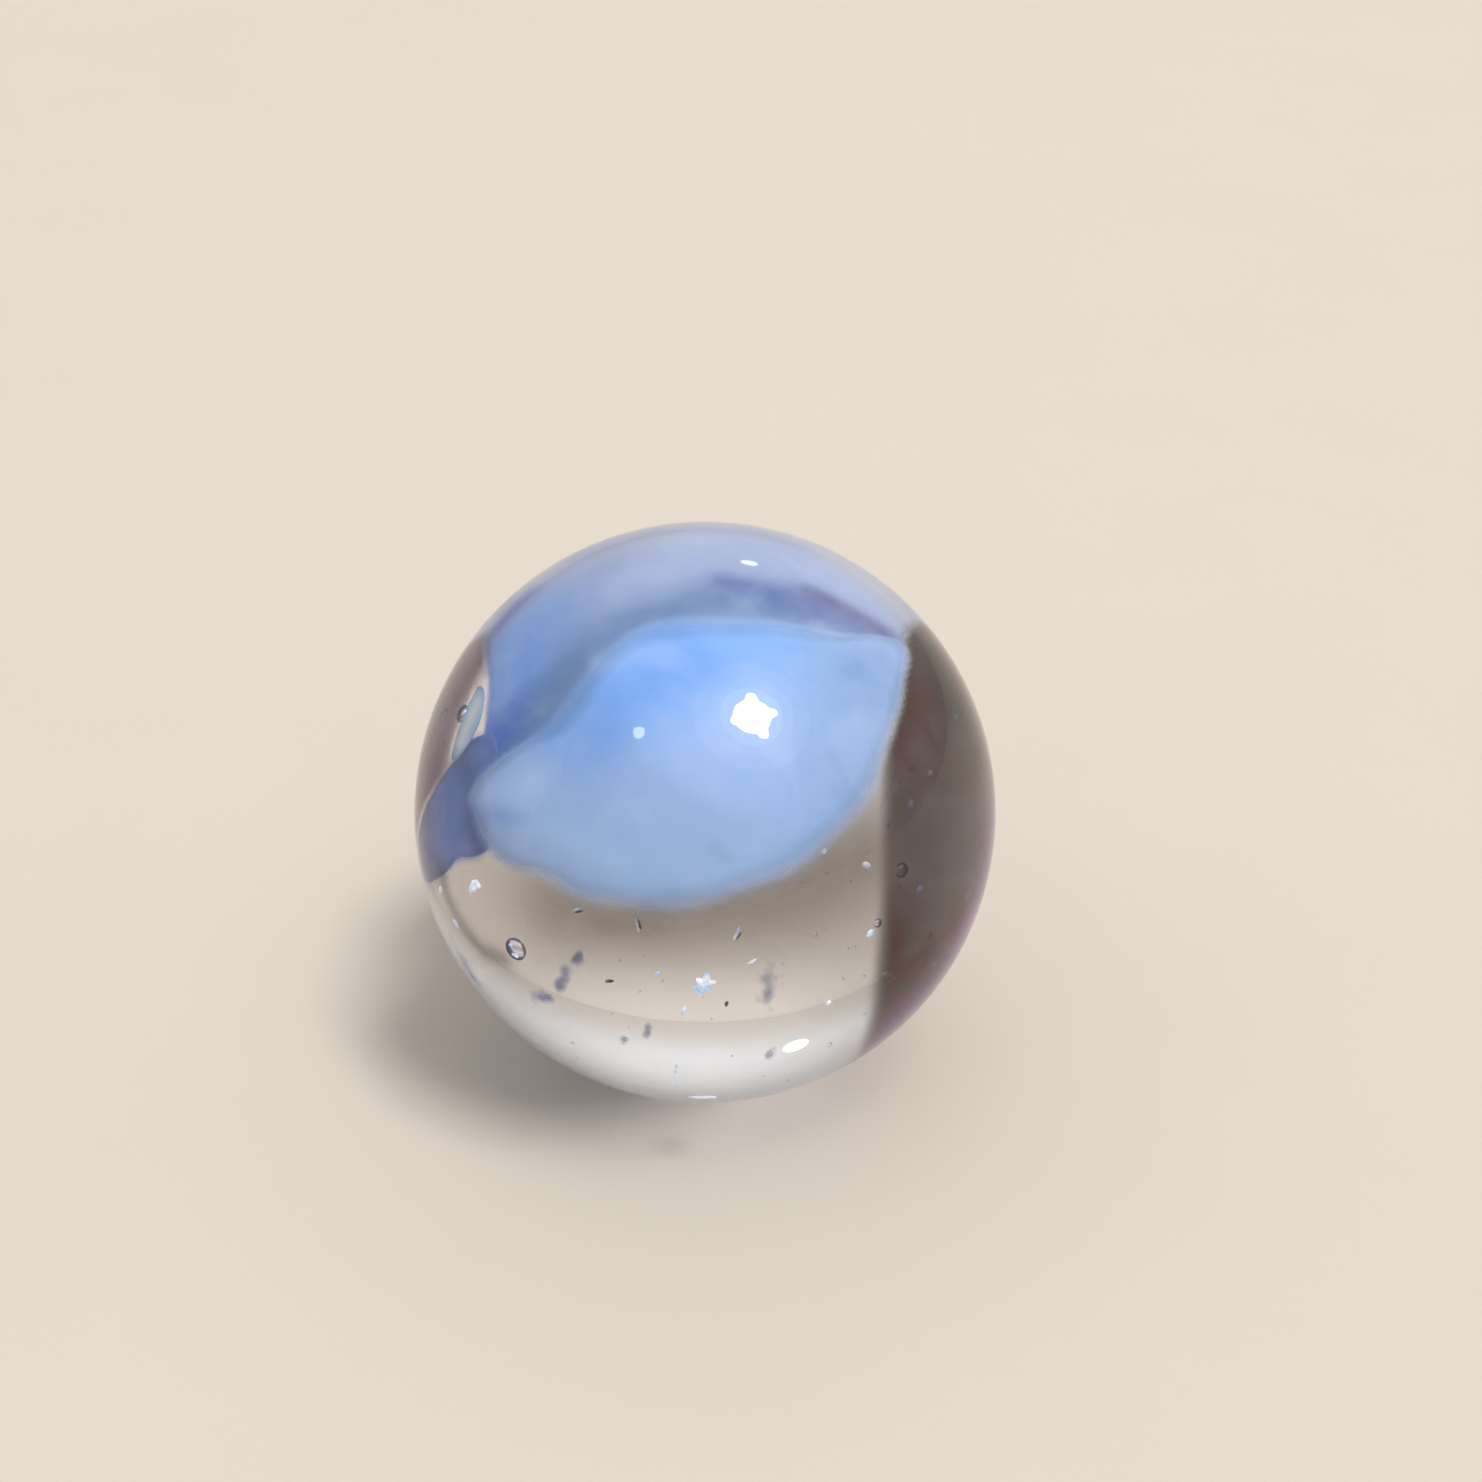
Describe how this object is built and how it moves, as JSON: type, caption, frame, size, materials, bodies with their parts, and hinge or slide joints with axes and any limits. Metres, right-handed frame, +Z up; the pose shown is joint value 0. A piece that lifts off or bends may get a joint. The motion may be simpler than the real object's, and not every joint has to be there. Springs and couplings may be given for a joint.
{
  "type": "glass marble",
  "caption": "Round playing marble of clear glass with a broad sky-blue and white glass ribbon folded inside it and fine air bubbles; a ball that rolls or sits in a ring.",
  "frame": {"origin": "centre of the ball", "axes": "+Z up, away from the seat that holds the ball; +Y away from the viewer of the blue face; +X to the viewer's right"},
  "size_m": [0.016, 0.016, 0.016],
  "materials": {
    "marble_glass": "polished clear glass with sky-blue and white opal glass inside"
  },
  "bodies": {
    "root": {"marble": "marble_glass"}
  },
  "joints": []
}
